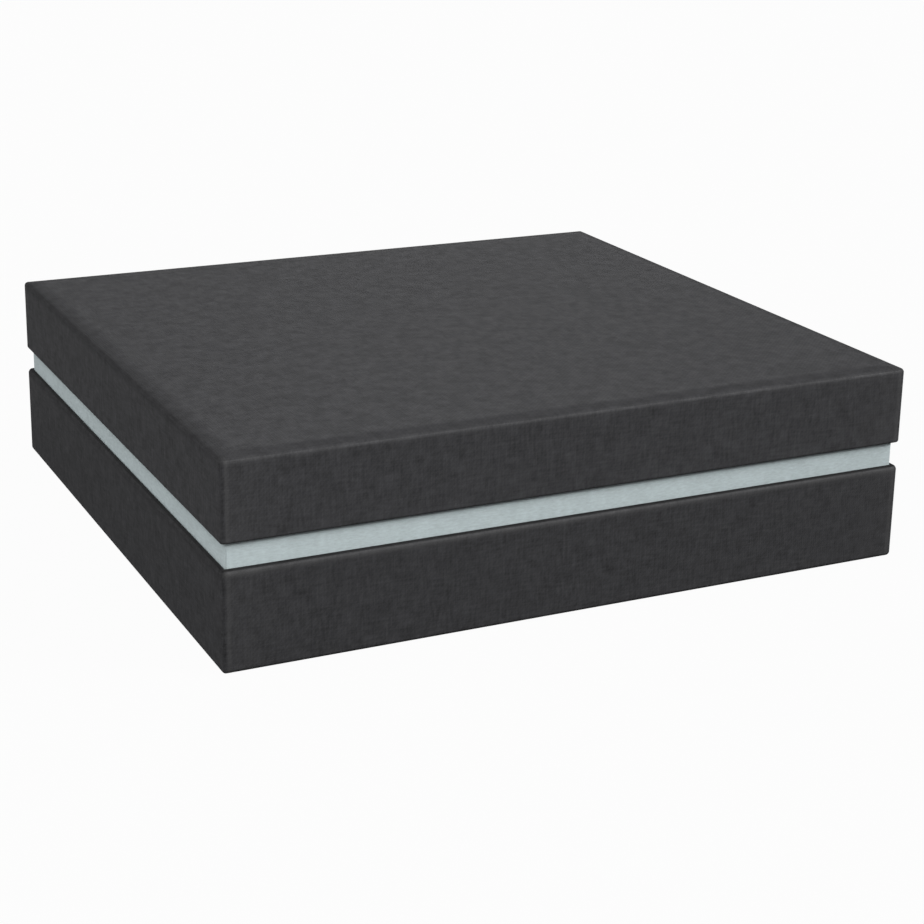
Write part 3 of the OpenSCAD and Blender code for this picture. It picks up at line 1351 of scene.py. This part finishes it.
    def build(self) -> bpy.types.Object:
        """Makes the folded paper.

        Returns:
            The new object.
        """
        lip_end = self.seam + self.lip
        seam_marks = (
            self.seam - self.seam_step, self.seam, lip_end - self.lip / 2, lip_end, self.corner_mark,
            self.ear, self.ear + self.ear_fade,
        )
        long, short = self._columns(self.half_w, seam_marks), self._columns(self.half_d, (self.corner_mark,))
        sheet = FoldedSheet(self.name, self.half_w, self.half_d, self.edge_r, long, short, self.relief)
        glued, glued_flat = self._glued_lines()
        outer, outer_flat = self._outer_lines()
        sheet.add_lines([Line(x.inset, self._z(x.z)) for x in reversed(glued)])
        sheet.add_lines([Line(x.inset, self._z(x.z), x.lap) for x in outer])
        sheet.add_panel(glued_flat, self._z(glued[-1].z))
        sheet.add_panel(outer_flat, self._z(outer[-1].z))
        return sheet.build(looped=False)


@dataclass
class NeckWrap:
    """The paper round the neck: up the outside, over the top edge and down the inside, with its seam at the
    back."""

    name: str
    half_w: float
    half_d: float
    low: float
    high: float
    board_depth: float
    board_thickness: float
    corner_r: float = 1.0
    paper_face: float = 0.06
    glue_gap: float = 0.01
    fold_r: float = 0.4
    top_gap: float = 0.03
    hold: float = 0.4
    seam_from_corner: float = 14.0
    seam_overlap: float = 9.0
    seam_step: float = 0.04
    seam_fade: float = 1.0
    corner_hold: float = 0.2
    pitch: float = 12.0
    fold_steps: int = 4

    def relief(self, side: Side, place: float) -> float:
        """Thickness of the paper's end where it laps over its start, at the back.

        Args:
            side: The side.
            place: Where along it, from its middle.

        Returns:
            How far the paper stands out there, in millimetres.
        """
        if side is not Side.BACK:
            return 0.0
        past = self.half_w - self.seam_from_corner - place
        if past < 0.0:
            return 0.0
        left = self.seam_overlap + self.seam_fade - past
        return self.paper_face * max(0.0, min(1.0, left / self.seam_fade))

    def build(self) -> bpy.types.Object:
        """Makes the folded paper.

        Returns:
            The new object.
        """
        seam = self.half_w - self.seam_from_corner
        end_w, end_d = self.half_w - self.corner_r, self.half_d - self.corner_r
        lap_end = seam - self.seam_overlap
        marks = [end_w, end_w - self.corner_hold, seam + self.seam_step, seam]
        marks += [lap_end, lap_end - self.seam_fade]
        middle = even(-seam + self.pitch, seam - self.pitch, self.pitch)
        long = sorted({*middle, *marks, *(-x for x in marks)})
        short_middle = even(-end_d + self.corner_hold, end_d - self.corner_hold, self.pitch)
        short = sorted({*short_middle, -end_d, end_d})
        sheet = FoldedSheet(self.name, self.half_w, self.half_d, self.corner_r, long, short, self.relief)
        face, fold = self.paper_face, self.fold_r
        inside = self.board_depth * 2 + self.board_thickness - face
        fold_z = self.high - self.top_gap - fold
        outer = [Line(face, self.low, 1.0), Line(face, fold_z - self.hold, 1.0)]
        outer += arc((face + fold, fold_z), (fold, fold), 180, 90, self.fold_steps, (1.0, 0.0))
        outer += arc((inside - fold, fold_z), (fold, fold), 90, 0, self.fold_steps)
        outer += [Line(inside, fold_z - self.hold), Line(inside, self.low)]
        board_top = self.high - self.board_depth + self.glue_gap
        near = self.board_depth - self.glue_gap
        far = self.board_depth + self.board_thickness + self.glue_gap
        glued = [Line(far, self.low), Line(far, board_top), Line(near, board_top), Line(near, self.low)]
        sheet.add_lines(outer)
        sheet.add_lines(glued)
        return sheet.build(looped=True)


@dataclass
class Base:
    """The base tray: a folded board, four corner stays, its textured paper and the floor's lining sheet."""

    turn_in: float = 18.0
    rim_r: float = 2.4
    wrap: bpy.types.Object | None = None

    def build(self) -> None:
        """Models the tray's paper from the frame's sizes."""
        outside = NodeBox.of("base_wrap")
        board = NodeBox.of("base_tray_board")
        floor = NodeBox.of("base_floor_liner")
        wall = Wall(board_in=board.low.z, board_out=floor.low.z)
        paper = TrayWrap(
            "base_textured_paper", outside.high.x, outside.high.y, outside.high.z, -1,
            outside.high.z, self.turn_in, wall, self.rim_r, panel_gap=0.0,
        )
        self.wrap = paper.build()

    def dress(self, tape: bpy.types.Material, board: bpy.types.Material, lining: bpy.types.Material) -> None:
        """Finishes the tray and sets its paper on the base body.

        Args:
            tape: Finish of the corner stays.
            board: Finish of the greyboard.
            lining: Finish of the lining sheet.
        """
        outside = NodeBox.of("base_wrap")
        # Painted light darkens the base's paper, with painted shade inside its rim and a strong painted
        # highlight below it.
        finish = TexturedWrapFinish(
            "base_textured_wrap", outside.high.x, outside.high.y, 0.0, outside.high.z,
            rim_shade_from=0.4, shade=0.92, rim_highlight=0.5,
        )
        self.wrap.data.materials.append(finish.build())
        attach(self.wrap, "base")
        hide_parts("base_wrap")
        dress_nodes(["base_tray_board"], board)
        dress_nodes([f"base_stay_{corner}" for corner in CORNERS], tape)
        dress_nodes(["base_floor_liner"], lining)


@dataclass
class Neck:
    """The neck: four standing boards, four corner stays and the pale paper round them."""

    wrap: bpy.types.Object | None = None

    def build(self) -> None:
        """Models the neck's paper from the frame's sizes."""
        outside = NodeBox.of("neck_wrap")
        board = NodeBox.of("neck_board_right")
        paper = NeckWrap(
            "neck_pale_paper", outside.high.x, outside.high.y, outside.low.z, outside.high.z,
            board_depth=outside.high.x - board.high.x, board_thickness=board.high.x - board.low.x,
        )
        self.wrap = paper.build()

    def dress(self, tape: bpy.types.Material, board: bpy.types.Material, paper: bpy.types.Material) -> None:
        """Finishes the neck and sets its paper on the base body.

        Args:
            tape: Finish of the corner stays.
            board: Finish of the greyboard.
            paper: Finish of the pale paper.
        """
        self.wrap.data.materials.append(paper)
        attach(self.wrap, "base")
        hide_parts("neck_wrap")
        dress_nodes([f"neck_board_{side.name.lower()}" for side in Side], board)
        dress_nodes([f"neck_stay_{corner}" for corner in CORNERS], tape)


@dataclass
class Lid:
    """The lid: a folded board, four corner stays, its textured paper and the sheet under its top."""

    turn_in_short: float = 1.5
    rim_r: float = 1.2
    strip: float = 6.0
    ridge: float = 0.06
    wrap: bpy.types.Object | None = None

    def build(self) -> None:
        """Models the lid's paper from the frame's sizes."""
        outside = NodeBox.of("lid_wrap")
        board = NodeBox.of("lid_tray_board")
        ceiling = NodeBox.of("lid_top_liner").high.z
        wall = Wall(board_in=outside.high.z - board.high.z, board_out=outside.high.z - ceiling)
        paper = TrayWrap(
            "lid_textured_paper", outside.high.x, outside.high.y, outside.low.z, 1,
            outside.high.z - outside.low.z, ceiling - self.turn_in_short - outside.low.z, wall, self.rim_r,
            panel_gap=0.07, strip=self.strip, ridge=self.ridge,
        )
        self.wrap = paper.build()

    def dress(self, tape: bpy.types.Material, board: bpy.types.Material, lining: bpy.types.Material) -> None:
        """Finishes the lid and sets its paper on the lid body.

        Args:
            tape: Finish of the corner stays.
            board: Finish of the greyboard.
            lining: Finish of the sheet under the top.
        """
        outside = NodeBox.of("lid_wrap")
        # Painted light lightens the lid's paper, with painted shade on the strip along its top edges and a
        # faint painted highlight below them.
        finish = TexturedWrapFinish(
            "lid_textured_wrap", outside.high.x, outside.high.y, outside.low.z, outside.high.z,
            sink_width=2.0 + self.strip, shade=1.03,
        )
        self.wrap.data.materials.append(finish.build())
        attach(self.wrap, "lid")
        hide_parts("lid_wrap")
        dress_nodes(["lid_tray_board"], board)
        dress_nodes([f"lid_stay_{corner}" for corner in CORNERS], tape)
        dress_nodes(["lid_top_liner"], lining)


# ---- Studio ----


@dataclass(frozen=True)
class SoftLight:
    """A broad, distant light: its direction from the box, how wide it looks and how strong it is."""

    name: str
    azimuth: float
    elevation: float
    strength: float
    width: float = 30.0

    def build(self) -> None:
        """Makes the light. Azimuth 0 is in front of the box, and 90 on its right."""
        data = bpy.data.lights.new(self.name, "SUN")
        data.energy = self.strength
        data.angle = math.radians(self.width)
        light = bpy.data.objects.new(self.name, data)
        a, e = math.radians(self.azimuth), math.radians(self.elevation)
        towards = Vector((math.sin(a) * math.cos(e), -math.cos(a) * math.cos(e), math.sin(e)))
        light.location = towards
        light.rotation_euler = towards.to_track_quat("Z", "Y").to_euler()
        bpy.context.scene.collection.objects.link(light)


@dataclass(frozen=True)
class NearLight:
    """A round soft light close by, which falls off along the box. Its place and its size are in metres."""

    name: str
    place: tuple[float, float, float]
    power: float
    size: float = 0.4

    def build(self) -> None:
        """Makes the light, turned to the middle of the box's foot. The camera doesn't see it."""
        data = bpy.data.lights.new(self.name, "AREA")
        data.shape = "DISK"
        data.size = self.size
        data.energy = self.power
        light = bpy.data.objects.new(self.name, data)
        light.location = self.place
        light.rotation_euler = Vector(self.place).to_track_quat("Z", "Y").to_euler()
        light.visible_camera = False
        bpy.context.scene.collection.objects.link(light)


@dataclass
class Studio:
    """Camera at the photograph's angle, a pale sweep and soft lights. The camera's place and the floor's side
    are in metres, and angles are in degrees."""

    camera_place: tuple[float, float, float] = (-0.4087, -0.8728, 0.3542)
    azimuth: float = -25.856
    elevation: float = 16.849
    roll: float = 0.974
    lens: float = 79.72
    sensor: float = 36.0
    picture_side: int = 924
    axis_row: int = 380
    clip: tuple[float, float] = (0.01, 100.0)
    room_light: float = 0.03
    backdrop: float = 0.98
    floor_side: float = 60.0
    floor_gap: float = 0.2
    lights: tuple[SoftLight | NearLight, ...] = (
        NearLight("near_left_light", (-0.6, -1.0, 0.75), 4.55),
        SoftLight("right_front_light", 60.0, 32.0, 3.41),
        SoftLight("left_front_light", -60.0, 32.0, 0.72),
        SoftLight("left_high_light", -90.0, 55.0, 0.76),
        SoftLight("left_low_light", -120.0, 12.0, 0.70),
        SoftLight("back_low_light", 154.0, 16.0, 0.175),
        SoftLight("back_fill_light", -150.0, 32.0, 0.25),
    )

    def build(self) -> None:
        """Makes the camera, the floor, the lights and the surroundings."""
        self._camera()
        self._floor()
        for light in self.lights:
            light.build()
        self._surroundings()

    def _camera(self) -> None:
        """Places the camera. Its shift puts the optical axis on its own row of the picture."""
        a, e, r = (math.radians(x) for x in (self.azimuth, self.elevation, self.roll))
        forward = Vector((-math.sin(a) * math.cos(e), math.cos(a) * math.cos(e), -math.sin(e)))
        level_right = forward.cross(Vector((0, 0, 1))).normalized()
        level_up = level_right.cross(forward)
        right = math.cos(r) * level_right + math.sin(r) * level_up
        up = -math.sin(r) * level_right + math.cos(r) * level_up
        data = bpy.data.cameras.new("photo_camera")
        data.lens = self.lens
        data.sensor_width = self.sensor
        data.shift_y = (self.axis_row - self.picture_side / 2) / self.picture_side
        data.clip_start, data.clip_end = self.clip
        camera = bpy.data.objects.new("photo_camera", data)
        camera.matrix_world = Matrix.Translation(self.camera_place) @ Matrix(
            (right, up, -forward)
        ).transposed().to_4x4()
        bpy.context.scene.collection.objects.link(camera)
        bpy.context.scene.camera = camera

    def _floor(self) -> None:
        """Makes the plain floor, a hair under the box so that the two faces don't lie in one plane."""
        half, z = self.floor_side / 2, -self.floor_gap * MM
        mesh = bpy.data.meshes.new("floor")
        corners = [(-half, -half, z), (half, -half, z), (half, half, z), (-half, half, z)]
        mesh.from_pydata(corners, [], [(0, 1, 2, 3)])
        mesh.materials.append(FloorFinish().build())
        floor = bpy.data.objects.new("floor", mesh)
        bpy.context.scene.collection.objects.link(floor)
        floor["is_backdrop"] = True

    def _surroundings(self) -> None:
        """Sets the room's even light, a pale backdrop for the camera and a plain colour transform."""
        world = bpy.data.worlds.new("studio")
        world.use_nodes = True
        w = Wiring(world.node_tree)
        path = w.node("ShaderNodeLightPath")
        background = w.node("ShaderNodeBackground")
        output = w.node("ShaderNodeOutputWorld")
        w.put(background.inputs["Color"], WHITE)
        strength = w.choose(path.outputs["Is Camera Ray"], self.room_light, self.backdrop)
        w.put(background.inputs["Strength"], strength)
        w.put(output.inputs["Surface"], background.outputs[0])
        bpy.context.scene.world = world
        bpy.context.scene.view_settings.view_transform = "Standard"


def report_pieces() -> None:
    """Logs every visible piece with the body it rides on."""
    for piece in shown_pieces():
        bodies = ", ".join(body_of(piece))
        LOG.info("%s rides on %s, %d faces", piece.name, bodies, len(piece.data.polygons))


def main() -> None:
    """Builds the studio and the box, and reports what was made."""
    logging.basicConfig(level=logging.INFO, format="%(name)s: %(message)s")
    Studio().build()
    lining, board, tape = LINING.build(), GREYBOARD.build(), TAPE.build()
    base, neck, lid = Base(), Neck(), Lid()
    for part in (base, neck, lid):
        part.build()
    base.dress(tape, board, lining)
    neck.dress(tape, board, NECK_PAPER.build())
    lid.dress(tape, board, lining)
    report_pieces()


if __name__ == "__main__":
    main()
